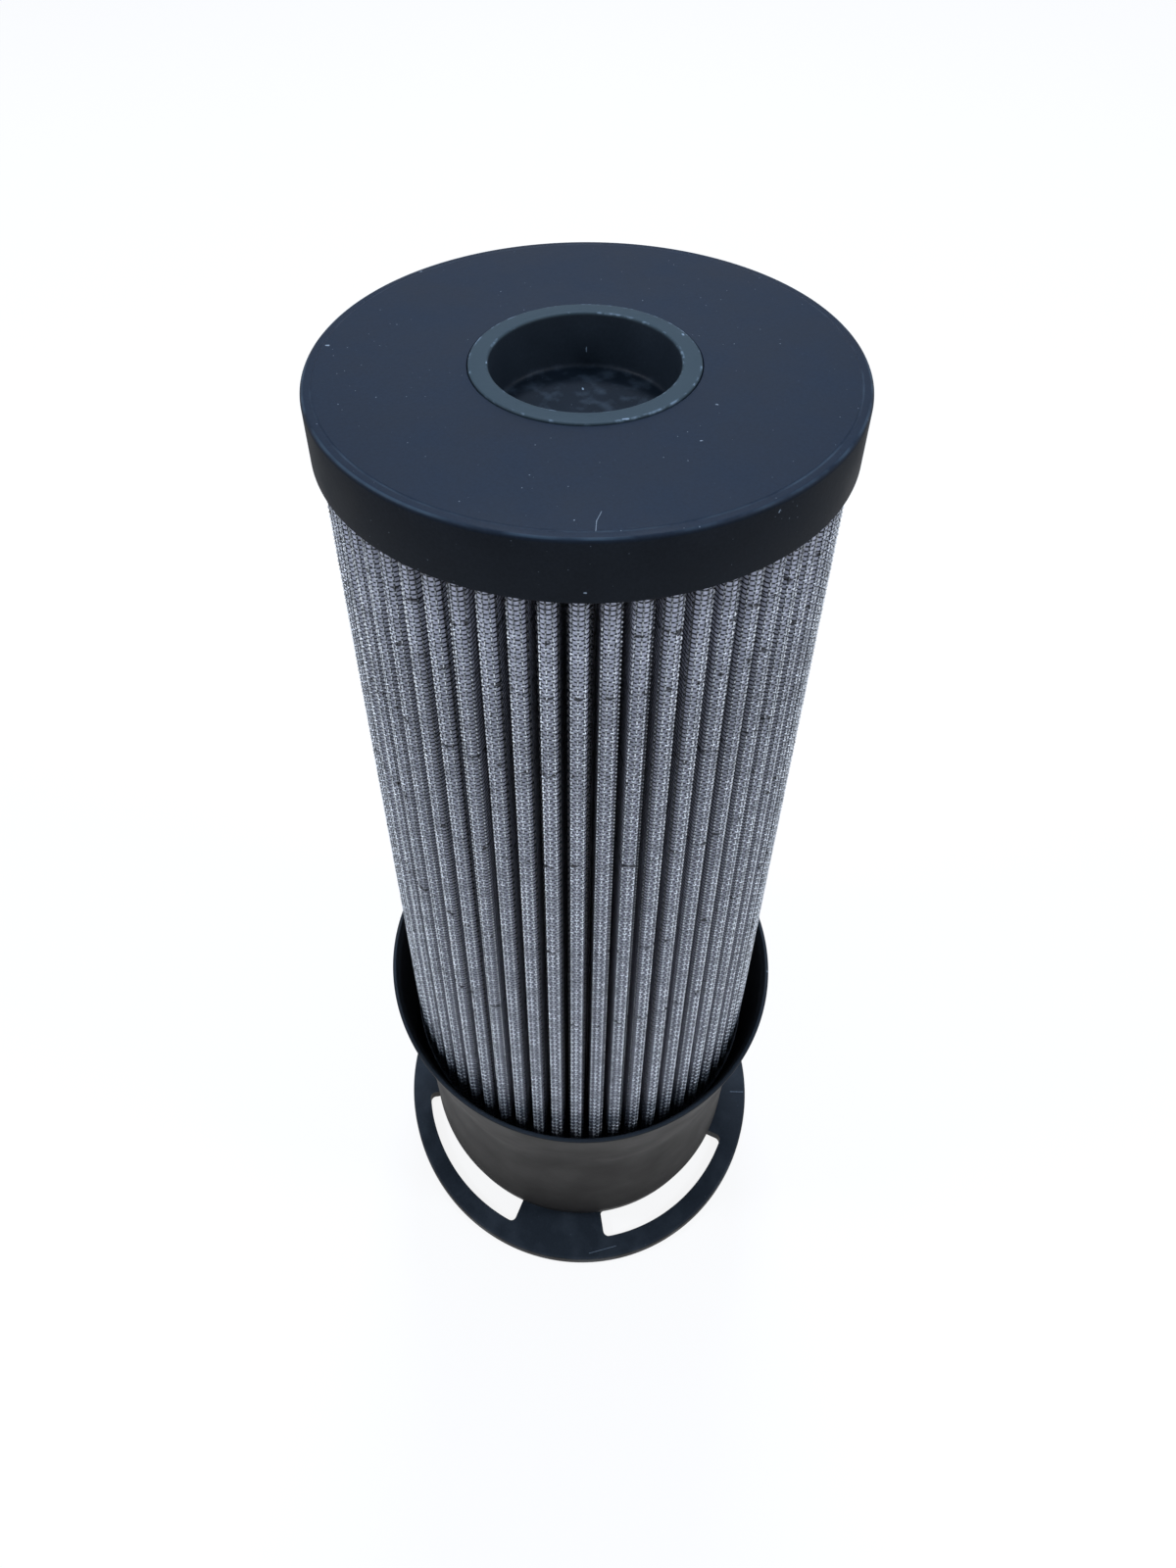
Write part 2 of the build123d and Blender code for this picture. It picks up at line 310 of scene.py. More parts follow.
# %% Slots in the flange
def slot_cutter(middle):
    """A closed prism with the slot's outline, rounded at its four corners."""
    corners = [
        (slot_inner_radius, -1), (slot_outer_radius, -1),
        (slot_outer_radius, 1), (slot_inner_radius, 1),
    ]
    outline = []
    for i, (radius, side) in enumerate(corners):
        inward = 1 if radius == slot_inner_radius else -1
        centre_radius = radius + inward * slot_corner_radius
        centre_angle = side * (slot_half_angle - slot_corner_radius / centre_radius)
        start = {0: pi, 1: -pi / 2, 2: 0.0, 3: pi / 2}[i]
        for step in range(7):
            turn = start + pi / 2 * step / 6
            outline.append((
                centre_radius * cos(centre_angle)
                + slot_corner_radius * cos(turn + centre_angle),
                centre_radius * sin(centre_angle)
                + slot_corner_radius * sin(turn + centre_angle),
            ))
        if i in (1, 3):
            sweep = slot_half_angle - slot_corner_radius / centre_radius
            for step in range(1, 40):
                angle = (-1 if i == 1 else 1) * sweep * (1 - 2 * step / 40)
                outline.append((radius * cos(angle), radius * sin(angle)))
    mesh = bmesh.new()
    lower = [mesh.verts.new((x * MM, y * MM, -2 * MM)) for x, y in outline]
    face = mesh.faces.new(lower)
    grown = bmesh.ops.extrude_face_region(mesh, geom=[face])
    raised = [v for v in grown["geom"] if isinstance(v, bmesh.types.BMVert)]
    bmesh.ops.translate(mesh, verts=raised, vec=(0, 0, (flange_top + 3) * MM))
    bmesh.ops.recalc_face_normals(mesh, faces=mesh.faces)
    data = bpy.data.meshes.new("slot_cutter")
    mesh.to_mesh(data)
    mesh.free()
    data.transform(Matrix.Rotation(middle, 4, "Z"))
    return data


cutters = bmesh.new()
for quarter in range(4):
    cutters.from_mesh(slot_cutter(quarter * pi / 2))
cutter_mesh = bpy.data.meshes.new("slot_cutters")
cutters.to_mesh(cutter_mesh)
cutters.free()
cutter = bpy.data.objects.new("slot_cutters", cutter_mesh)
bpy.context.scene.collection.objects.link(cutter)

cup = place("catch_cup_moulding", cup_mesh, ["catch_cup"])
cut = cup.modifiers.new("slots", "BOOLEAN")
cut.object = cutter
cut.solver = "EXACT"
bpy.context.view_layer.update()
evaluated_cup = cup.evaluated_get(bpy.context.evaluated_depsgraph_get())
cut_mesh = bpy.data.meshes.new_from_object(evaluated_cup)
cup.modifiers.clear()
cup.data = cut_mesh
smooth(cup.data)
bpy.data.objects.remove(cutter)
print("cup after slots, faces:", len(cup.data.polygons))

# %% [markdown]
# ## Pleats
# The pack is one folded sheet: pale fleece behind a woven wire cloth. The crest of each pleat is
# a round fold and its flanks run straight down to a tight valley. A cylinder with a pleated bump
# would look flat at its outline, so the sheet is really folded, once, as a closed shell. Its UV
# map holds real millimetres, developed length across and height up, so that a pattern of wires
# can follow the folds exactly.

# %% Fold geometry
pleat_count = 62
first_crest = radians(-38.8)
crest_drift = radians(1.3)
pleat_radius = 43.8
crest_radius = 1.85
valley_radius = 0.2
core_radius = 28.9
core_gap = 0.2
# the wire cloth, the mat behind it and the gap between them
sheet_stack = 1.16
pitch_angle = 2 * pi / pleat_count
crest_centre = Vector((pleat_radius - crest_radius, 0))
valley_reach = core_radius + core_gap + valley_radius + sheet_stack
valley_centre = Vector((
    valley_reach * cos(pitch_angle / 2), valley_reach * sin(pitch_angle / 2),
))
between = valley_centre - crest_centre
flank_angle = atan2(between.y, between.x) - acos(
    (crest_radius + valley_radius) / between.length
)
flank_normal = Vector((cos(flank_angle), sin(flank_angle)))

# wire of 0.2 mm would be finer than a pixel, so it is drawn 0.3 mm thick
warp_pitch = 1.05
weft_pitch = 0.95
wire_radius = 0.15
cloth_depth = 2 * wire_radius
fleece_depth = 0.37
fleece_back_depth = 0.40
cloth_fold_radius = crest_radius - cloth_depth


def crest_angle(pleat):
    """Where a crest stands: even spacing, with a slow drift that comes twice in a turn."""
    even = pleat * pitch_angle
    return first_crest + even + crest_drift * sin(2 * even)


def half_fold(depth):
    """Points from a crest's top down one flank to the valley's middle, with developed length."""
    radius = crest_radius - depth
    crest_steps = 10
    points = []
    for step in range(crest_steps + 1):
        around = flank_angle * step / crest_steps
        points.append((
            crest_centre + radius * Vector((cos(around), sin(around))),
            cloth_fold_radius * around,
        ))
    reach = valley_radius + depth
    inward = Vector((cos(pitch_angle / 2), sin(pitch_angle / 2)))
    corner = valley_centre - reach * flank_normal - reach * inward
    flank_length = (corner - points[-1][0]).length
    flank_start = points[-1]
    for share in (0.15, 0.4, 1.0):
        points.append((
            flank_start[0].lerp(corner, share), flank_start[1] + flank_length * share,
        ))
    middle = valley_centre - reach * inward
    points.append((middle, flank_start[1] + flank_length + (middle - corner).length))
    return points


def fold_outline(depth):
    """The whole folded outline at a depth: points, developed length and pleat index."""
    half = half_fold(depth)
    outline = []
    for pleat in range(pleat_count):
        turn = Matrix.Rotation(crest_angle(pleat), 2)
        for point, along in reversed(half[1:-1]):
            outline.append((turn @ Vector((point.x, -point.y)), -along, pleat))
        for point, along in half:
            outline.append((turn @ point, along, pleat))
    return outline


print("flank angle", round(flank_angle, 3), "outline points", len(fold_outline(fleece_depth)))

# %% Fleece sheet
rng = np.random.default_rng(7)
pleat_phase = rng.uniform(-0.5, 0.5, pleat_count) * warp_pitch


def folded_sheet(name, outer_depth, inner_depth):
    """A closed folded shell with a UV map in millimetres."""
    outer, inner = fold_outline(outer_depth), fold_outline(inner_depth)
    count = len(outer)
    levels = [pack_bottom, pack_top]
    mesh = bmesh.new()
    uv = mesh.loops.layers.uv.new("cloth_mm")
    rings = []
    for outline in (outer, inner):
        rings.append([
            [mesh.verts.new((p.x * MM, p.y * MM, level * MM)) for p, _, _ in outline]
            for level in levels
        ])
    per_pleat = count // pleat_count

    def face(corners, marks):
        made = mesh.faces.new(corners)
        for loop, mark in zip(made.loops, marks):
            loop[uv].uv = mark

    for side, outline in enumerate((outer, inner)):
        for i in range(count):
            n = (i + 1) % count
            _, along, pleat = outline[i]
            shift = pleat_phase[pleat]
            if n % per_pleat == 0:
                along_next = along + (outline[n][0] - outline[i][0]).length
            else:
                along_next = outline[n][1]
            corners = [
                rings[side][0][i], rings[side][0][n], rings[side][1][n], rings[side][1][i],
            ]
            marks = [
                (along + shift, levels[0]), (along_next + shift, levels[0]),
                (along_next + shift, levels[1]), (along + shift, levels[1]),
            ]
            if side:
                corners.reverse()
                marks.reverse()
            face(corners, marks)
    for level, flip in ((0, True), (1, False)):
        for i in range(count):
            n = (i + 1) % count
            corners = [
                rings[0][level][i], rings[0][level][n], rings[1][level][n], rings[1][level][i],
            ]
            if flip:
                corners.reverse()
            face(corners, [(0.3, levels[level])] * 4)
    bmesh.ops.recalc_face_normals(mesh, faces=mesh.faces)
    data = bpy.data.meshes.new(name)
    mesh.to_mesh(data)
    mesh.free()
    smooth(data, 50)
    return data


fleece = place(
    "fleece_folds", folded_sheet("fleece_folds", fleece_depth, fleece_back_depth),
    ["outer_wire_mesh"],
)

# %% [markdown]
# ## Wires on the crests
# On the crests the cloth stands where the light rakes over it, so there each wire is real: the
# warp wires run up the pleat and the weft wires run round it, over and under one another in a
# plain weave. A wire has a three-sided section with smooth shading, which reads as round at this
# size and keeps the count of triangles low. Further down the flanks the fleece's own pattern
# carries on with the same pitch.

# %% Wires on the crests
crest_wires_reach = radians(84)
glint_reach = radians(48)
glint_fade = radians(24)
weft_rows = np.arange(ceil(pack_bottom / weft_pitch), int(pack_top / weft_pitch) + 1)
section_angles = np.radians([90, 210, 330])


def fold_point(around, lift, height, pleat):
    """A point on a crest's fold, lifted off the cloth's middle surface, in metres."""
    radius = cloth_fold_radius + lift
    x = crest_centre.x + radius * np.cos(around)
    y = radius * np.sin(around)
    turn = crest_angle(pleat)
    return np.stack([
        x * np.cos(turn) - y * np.sin(turn), x * np.sin(turn) + y * np.cos(turn),
        height + 0 * x,
    ], axis=-1) * MM


def wire_tube(centres, sideways, outward):
    """Vertices of a three-sided tube along a line of points."""
    rings = [
        centres + MM * wire_radius * (np.cos(a) * sideways + np.sin(a) * outward)
        for a in section_angles
    ]
    return np.stack(rings, axis=1)


def tube_faces(samples):
    """Faces of one tube with this many samples, its ends closed."""
    faces = []
    for i in range(samples - 1):
        for j in range(3):
            a, b = 3 * i + j, 3 * i + (j + 1) % 3
            faces.append((a, b, b + 3, a + 3))
    return faces, [(0, 1, 2), (3 * samples - 1, 3 * samples - 2, 3 * samples - 3)]


def crest_wires(name, pleats):
    """All the wires on the crests of some neighbouring pleats, as one mesh."""
    rows = np.concatenate([[weft_rows[0] - 0.5], weft_rows, [weft_rows[-1] + 0.5]])
    heights = np.clip(rows * weft_pitch, pack_bottom, pack_top)
    vertices, quads, caps, outermost = [], [], [], []
    base = 0

    def add(tube, lift, around):
        nonlocal base
        # the knuckle value falls off away from the crest top, so the painted glints stay on the
        # crest tops
        fade = np.clip((np.abs(around) - glint_reach) / glint_fade, 0, 1.2)
        outermost.append(np.repeat(lift / wire_radius - fade, 3))
        samples = tube.shape[0]
        sides, ends = tube_faces(samples)
        vertices.append(tube.reshape(-1, 3))
        quads.append(np.array(sides) + base)
        caps.append(np.array(ends) + base)
        base += 3 * samples

    for pleat in pleats:
        turn = crest_angle(pleat)
        first = ceil((-crest_wires_reach * cloth_fold_radius + pleat_phase[pleat]) / warp_pitch)
        last = int((crest_wires_reach * cloth_fold_radius + pleat_phase[pleat]) // warp_pitch)
        columns = np.arange(first, last + 1)
        column_angles = (columns * warp_pitch - pleat_phase[pleat]) / cloth_fold_radius
        for column, around in zip(columns, column_angles):
            lift = np.where((np.round(rows) + column) % 2 == 0, -wire_radius, wire_radius)
            lift[0] = lift[-1] = 0
            centres = fold_point(np.full(len(rows), around), lift, heights, pleat)
            out = np.array([cos(around + turn), sin(around + turn), 0])
            side = np.array([-sin(around + turn), cos(around + turn), 0])
            add(wire_tube(centres, side, out), lift, np.full(len(rows), around))
        ends = flank_angle * np.array([-1, 1])
        angles = np.concatenate([[ends[0]], column_angles, [ends[1]]])
        signs = np.concatenate([[0], np.where(columns % 2 == 0, 1, -1), [0]])
        out = np.stack([
            np.cos(angles + turn), np.sin(angles + turn), 0 * angles,
        ], axis=-1)
        up = np.array([0, 0, 1.0])
        for row in weft_rows:
            lift = wire_radius * signs * (1 if row % 2 == 0 else -1)
            lift[0] = lift[-1] = -wire_radius
            centres = fold_point(angles, lift, row * weft_pitch, pleat)
            add(wire_tube(centres, up, out), lift, angles)
    vertices = np.concatenate(vertices)
    quads, caps = np.concatenate(quads), np.concatenate(caps)
    mesh = bpy.data.meshes.new(name)
    mesh.vertices.add(len(vertices))
    mesh.vertices.foreach_set("co", vertices.ravel())
    loops = np.concatenate([quads.ravel(), caps.ravel()])
    mesh.loops.add(len(loops))
    mesh.loops.foreach_set("vertex_index", loops)
    starts = np.concatenate([
        np.arange(len(quads)) * 4, len(quads) * 4 + np.arange(len(caps)) * 3,
    ])
    mesh.polygons.add(len(starts))
    mesh.polygons.foreach_set("loop_start", starts)
    mesh.update(calc_edges=True)
    knuckle = mesh.attributes.new("knuckle", "FLOAT", "POINT")
    knuckle.data.foreach_set("value", np.concatenate(outermost))
    mesh.shade_smooth()
    return mesh


wire_pieces = []
sector_count = 5
for sector in range(sector_count):
    pleats = range(
        pleat_count * sector // sector_count, pleat_count * (sector + 1) // sector_count
    )
    name = f"crest_wires_{sector + 1}"
    wire_pieces.append(place(name, crest_wires(name, pleats)))
print("triangles in the wires", sum(
    len(polygon.vertices) - 2 for piece in wire_pieces for polygon in piece.data.polygons
))

# %% [markdown]
# ## Masks for wear, dirt and painted light
# A mask is a socket that runs from 0 to 1. Each one says where a finish changes: along a streak
# between two points, in a band of heights or of radii, above or below a level, or in patches of
# noise. One function lays a colour over a material where all of its masks hold.

# %% Where a shaded point lies
def object_place(tree):
    """Where a shaded point lies in the part, in metres."""
    return add_node(tree, "ShaderNodeTexCoord").outputs["Object"]


def height(tree):
    """Height of a shaded point, in metres."""
    split = add_node(tree, "ShaderNodeSeparateXYZ", None, {"Vector": object_place(tree)})
    return split.outputs["Z"]


def distance_from_axis(tree):
    """Distance of a shaded point from the element's axis, in metres."""
    flat = add_node(tree, "ShaderNodeVectorMath", {"operation": "MULTIPLY"}, {
        0: object_place(tree), 1: (1, 1, 0),
    })
    return add_node(tree, "ShaderNodeVectorMath", {"operation": "LENGTH"}, {
        0: flat.outputs["Vector"],
    }).outputs["Value"]


def grains(tree, size, detail=3.0):
    """Inputs for a noise whose grains are about this many millimetres wide."""
    return {"Vector": object_place(tree), "Scale": per_mm(size), "Detail": detail}


# %% Masks
def combine(tree, operation, masks):
    """Several masks as one: MULTIPLY where all of them hold, MAXIMUM where any does."""
    whole = masks[0]
    for mask in masks[1:]:
        whole = add_node(tree, "ShaderNodeMath", {"operation": operation}, {
            0: whole, 1: mask,
        }).outputs["Value"]
    return whole


def patches(tree, size, start, end, low=0.0, high=1.0, detail=3.0):
    """Patches about this many millimetres wide: low where their noise is start, high at end."""
    noise = add_node(tree, "ShaderNodeTexNoise", None, grains(tree, size, detail))
    return add_node(tree, "ShaderNodeMapRange", None, {
        "Value": noise.outputs["Fac"], "From Min": start, "From Max": end,
        "To Min": low, "To Max": high,
    }).outputs["Result"]


def level_fade(tree, start, end, low=0.0, high=1.0):
    """A fade from low at one height to high at another, both in millimetres."""
    return add_node(tree, "ShaderNodeMapRange", None, {
        "Value": height(tree), "From Min": start * MM, "From Max": end * MM,
        "To Min": low, "To Max": high,
    }).outputs["Result"]


def band(tree, value, middle, width):
    """A soft-edged mask for lengths within half a width of the middle, in millimetres."""
    off = add_node(tree, "ShaderNodeMath", {"operation": "SUBTRACT"}, {0: value, 1: middle * MM})
    off = add_node(tree, "ShaderNodeMath", {"operation": "ABSOLUTE"}, {0: off.outputs["Value"]})
    return add_node(tree, "ShaderNodeMapRange", None, {
        "Value": off.outputs["Value"],
        "From Min": 0.75 * width * MM, "From Max": 0.25 * width * MM,
    }).outputs["Result"]


def wavy(tree, value, size, depth):
    """A length with noise of a grain size added to it, up to a depth, both in millimetres."""
    noise = add_node(tree, "ShaderNodeTexNoise", None, grains(tree, size))
    return add_node(tree, "ShaderNodeMath", {"operation": "MULTIPLY_ADD"}, {
        0: noise.outputs["Fac"], 1: depth * MM, 2: value,
    }).outputs["Value"]


def streak(tree, start, end, width):
    """A mask along the line between two points in millimetres, with a ragged edge."""
    start, end = Vector(start) * MM, Vector(end) * MM
    along = end - start
    offset = add_node(tree, "ShaderNodeVectorMath", {"operation": "SUBTRACT"}, {
        0: object_place(tree), 1: start,
    })
    share = add_node(tree, "ShaderNodeVectorMath", {"operation": "DOT_PRODUCT"}, {
        0: offset.outputs["Vector"], 1: along / along.length_squared,
    })
    within = add_node(tree, "ShaderNodeClamp", None, {"Value": share.outputs["Value"]})
    nearest = add_node(tree, "ShaderNodeVectorMath", {"operation": "SCALE"}, {
        0: along, "Scale": within.outputs["Result"],
    })
    gap = add_node(tree, "ShaderNodeVectorMath", {"operation": "DISTANCE"}, {
        0: offset.outputs["Vector"], 1: nearest.outputs["Vector"],
    })
    return add_node(tree, "ShaderNodeMapRange", None, {
        "Value": wavy(tree, gap.outputs["Value"], width * 1.5, width),
        "From Min": width * MM * 1.1, "From Max": width * MM * 0.8,
    }).outputs["Result"]


def paint(material, hex_text, *masks):
    """Lays a colour over a material's base colour where all the masks are 1."""
    tree = material.node_tree
    surface = next(node for node in tree.nodes if node.type == "BSDF_PRINCIPLED")
    over = add_node(tree, "ShaderNodeMix", RGBA_MIX, {
        MIX_FACTOR: combine(tree, "MULTIPLY", masks),
        MIX_A: surface.inputs["Base Color"].links[0].from_socket, MIX_B: colour(hex_text),
    })
    tree.links.new(over.outputs[MIX_OUT], surface.inputs["Base Color"])


# %% [markdown]
# ## Black moulded nylon
# The caps and the cup are glass-filled polyamide. It leaves the mould with a satin skin: fine
# grain from the steel and faint flow marks. Faces that look up are painted a paler blue grey as
# painted sky light, which turns black into the blue grey that the eye sees there. The steel's own
# grain is near 0.1 mm, too fine to show, so it is drawn at 0.45 mm and its pebbled bump at 0.9 mm.

# %% Black moulded nylon
flow_mark_size = 11
moulded_grain_size = 0.45
pebble_size = 0.9
speck_spacing = 0.9
dust_hex = "8f9aa6"


def moulded_nylon(name, side_hex, sky_light_hex, roughness, gloss, upward_gloss, dust):
    """Glass-filled nylon: a body colour, painted sky light on faces that look up, specks of dust.
    """
    material, tree = new_material(name)
    normal = add_node(tree, "ShaderNodeNewGeometry").outputs["Normal"]
    upward = add_node(tree, "ShaderNodeSeparateXYZ", None, {"Vector": normal}).outputs["Z"]
    # painted sky light: faces that look up get the paler, bluer colour
    sky_light_share = add_node(tree, "ShaderNodeMapRange", None, {
        "Value": upward, "From Min": 0.05, "From Max": 0.95,
    })
    body = add_node(tree, "ShaderNodeMix", RGBA_MIX, {
        MIX_FACTOR: sky_light_share.outputs["Result"], MIX_A: colour(side_hex), MIX_B: colour(sky_light_hex),
    })
    toned = add_node(tree, "ShaderNodeVectorMath", {"operation": "SCALE"}, {
        0: body.outputs[MIX_OUT], "Scale": combine(tree, "MULTIPLY", [
            patches(tree, flow_mark_size, 0.3, 0.7, 0.88, 1.14, 5.0),
            patches(tree, moulded_grain_size, 0.3, 0.7, 0.9, 1.1),
        ]),
    })
    # a speck is a small disc in about a quarter of the cells
    cells = add_node(tree, "ShaderNodeTexVoronoi", None, {
        "Vector": object_place(tree), "Scale": per_mm(speck_spacing),
    })
    luck = add_node(tree, "ShaderNodeSeparateXYZ", None, {"Vector": cells.outputs["Color"]})
    reach = add_node(tree, "ShaderNodeMapRange", None, {
        "Value": luck.outputs["X"], "From Min": 0.72, "From Max": 1.0, "To Max": 0.13,
    })
    inside = add_node(tree, "ShaderNodeMath", {"operation": "SUBTRACT"}, {
        0: reach.outputs["Result"], 1: cells.outputs["Distance"],
    })
    disc = add_node(tree, "ShaderNodeMapRange", None, {
        "Value": inside.outputs["Value"], "From Min": 0.0, "From Max": 0.03,
    })
    settled = add_node(tree, "ShaderNodeMapRange", None, {
        "Value": upward, "From Min": 0.2, "From Max": 0.9, "To Min": 0.3,
    })
    peel = add_node(tree, "ShaderNodeTexNoise", None, grains(tree, pebble_size, 4.0))
    pebbles = add_node(tree, "ShaderNodeBump", None, {
        "Height": peel.outputs["Fac"], "Strength": 0.35, "Distance": 0.06 * MM,
    })
    shine = gloss
    if upward_gloss != gloss:
        shine = add_node(tree, "ShaderNodeMapRange", None, {
            "Value": upward, "From Min": 0.3, "From Max": 0.95,
            "To Min": gloss, "To Max": upward_gloss,
        }).outputs["Result"]
    surface = add_node(tree, "ShaderNodeBsdfPrincipled", None, {
        "Base Color": toned.outputs["Vector"], "IOR": 1.53,
        "Specular IOR Level": shine,
        "Roughness": patches(
            tree, flow_mark_size, 0.3, 0.7, roughness - 0.05, roughness + 0.07, 5.0,
        ),
        "Normal": pebbles.outputs["Normal"],
    })
    add_node(tree, "ShaderNodeOutputMaterial", None, {"Surface": surface.outputs["BSDF"]})
    paint(
        material, dust_hex, disc.outputs["Result"], patches(tree, 16, 0.38, 0.62, 0.0, dust),
        settled.outputs["Result"],
    )
    return material


# %% Upper cap finish
cap_nylon = moulded_nylon("cap_nylon", "1b1e22", "13202f", 0.52, 0.02, 0.16, 0.8)
tree = cap_nylon.node_tree
# a painted highlight along the rounded outer edge
paint(
    cap_nylon, "303f4c", band(tree, distance_from_axis(tree), cap_radius - 0.4, 0.35),
    patches(tree, 7, 0.38, 0.6), level_fade(tree, cap_face - 1, cap_face - 0.5),
)
# a painted highlight along the step inside it
paint(
    cap_nylon, "3a4956", band(tree, distance_from_axis(tree), edge_step_radius, 0.3),
    patches(tree, 9, 0.45, 0.7, 0.0, 0.6),
)
# start, end, width and strength
cap_marks = [
    ((35.5, -27.7, 244.3), (35.6, -27.5, 244.3), 0.3, 0.9),
    ((45.0, -1.9, 251.9), (45.0, -2.0, 251.6), 0.3, 0.7),
    ((-29.8, -30.4, 253.5), (-29.6, -30.1, 253.5), 0.4, 1.0),
    ((-43.7, -4.2, 253.5), (-43.6, -3.7, 253.5), 0.3, 0.8),
    ((22.3, 7.6, 253.5), (22.5, 7.7, 253.5), 0.25, 0.8),
    ((28.0, -0.8, 253.5), (28.1, -0.6, 253.5), 0.22, 0.8),
    ((32.2, -22.3, 253.5), (33.4, -24.1, 253.5), 0.12, 0.5),
    ((33.4, -24.1, 253.5), (35.0, -25.5, 253.5), 0.12, 0.6),
    ((3.9, -43.9, 253.2), (5.2, -43.8, 253.2), 0.3, 0.5),
]
for start, end, width, strength in cap_marks:
    paint(cap_nylon, "8d99a4", streak(tree, start, end, width), strength)
top_cap.data.materials.append(cap_nylon)
print("cap marks:", len(cap_marks))

# %% Plug finish
plug_nylon = moulded_nylon("plug_nylon", "222a32", "131c25", 0.5, 0.15, 0.12, 0.5)
tree = plug_nylon.node_tree
proud_face = level_fade(tree, plug_top - 0.6, plug_top - 0.1)
paint(plug_nylon, "344249", proud_face)
edges = combine(tree, "MAXIMUM", [
    band(tree, distance_from_axis(tree), recess_radius + 0.25, 0.35),
    band(tree, distance_from_axis(tree), plug_radius - 0.2, 0.35),
])
nicks = patches(tree, 1.6, 0.52, 0.66, 0.0, 0.5)
paint(plug_nylon, "7f93a3", edges, nicks, proud_face)
plug_marks = [
    ((-6.6, 4.8, 243.4), (-6.2, 4.6, 243.4), 0.3),
    ((-12.0, 9.8, 247.2), (-12.0, 9.8, 246.3), 0.2),
    ((-8.4, 16.6, 253.8), (-8.0, 16.7, 253.8), 0.3),
    ((3.6, 17.6, 253.8), (3.9, 17.5, 253.8), 0.4),
    ((-8.6, -13.0, 253.8), (-8.8, -12.8, 253.8), 0.35),
    ((17.2, -6.3, 253.8), (17.6, -5.6, 253.8), 0.35),
]
for start, end, width in plug_marks:
    paint(plug_nylon, "8395a4", streak(tree, start, end, width))
# scuffs on the recess floor
paint(
    plug_nylon, "434f5a", level_fade(tree, recess_floor + 1.5, recess_floor),
    patches(tree, 3, 0.48, 0.66, 0.0, 0.4, 5.0),
)
plug.data.materials.append(plug_nylon)
print("plug marks:", len(plug_marks))

# %% Catch cup finish
cup_nylon = moulded_nylon("cup_nylon", "110f0e", "222930", 0.5, 0.11, 0.12, 0.5)
tree = cup_nylon.node_tree
above_flange = (flange_top - 0.1, flange_top + 0.4)
# painted shade: the cup darkens towards its foot, just above the flange
paint(cup_nylon, "08080a", level_fade(tree, 26, 6, 0.0, 0.7), level_fade(tree, *above_flange))
cup_marks = [
    ((35.0, 34.5, 77.1), (35.5, 34.9, 77.0), 0.5),
    ((32.4, 33.3, 3.0), (34.8, 36.4, 3.0), 0.16),
    ((40.9, -28.0, 3.0), (43.9, -21.0, 3.0), 0.12),
]
for start, end, width in cup_marks:
    paint(cup_nylon, "74808c", streak(tree, start, end, width))
# smudges on the flange and wiped patches on the cup
paint(
    cup_nylon, "3f464d", level_fade(tree, *reversed(above_flange)),
    patches(tree, 8, 0.45, 0.66, 0.0, 0.4, 5.0),
)
paint(
    cup_nylon, "252322", level_fade(tree, 6, 12), patches(tree, 13, 0.46, 0.64, 0.0, 0.3, 4.0),
)
cup.data.materials.clear()
cup.data.materials.append(cup_nylon)
print("cup marks:", len(cup_marks))

# %% [markdown]
# ## Fleece behind the wires
# The fleece is a pale spun-bonded polyester. The wires over it are drawn here in its colour and
# its bump, on the grid of the UV map, so that the pattern goes on where the real wires end. Near
# the foot, below a wavy level, the pleats are drawn dark.

# %% Dark foot and dark dashes on the pleats
dark_foot_level = 69.0
dark_foot_tilt = (0.070, -0.010, 1.0)
dark_dash_levels = (233.5, 221.8, 203.0, 178.0, 149.0, 121.0)


def dark_foot_mask(tree):
    """Where the pleats are drawn dark: below a wavy level that is higher on the left."""
    level = add_node(tree, "ShaderNodeVectorMath", {"operation": "DOT_PRODUCT"}, {
        0: object_place(tree), 1: dark_foot_tilt,
    })
    return add_node(tree, "ShaderNodeMapRange", None, {
        "Value": wavy(tree, level.outputs["Value"], 6, 9),
        "From Min": (dark_foot_level + 7) * MM, "From Max": (dark_foot_level + 3) * MM,
    }).outputs["Result"]


def dark_dash_mask(tree):
    """Short dark dashes across the pleats at a few heights, and flecks."""
    line = wavy(tree, height(tree), 5, 4)
    dash_bands = combine(tree, "MAXIMUM", [
        band(tree, line, level + 2, 0.7) for level in dark_dash_levels
    ])
    dashes = combine(tree, "MULTIPLY", [dash_bands, patches(tree, 1.5, 0.5, 0.56)])
    return combine(tree, "MAXIMUM", [dashes, patches(tree, 1.1, 0.69, 0.72)])


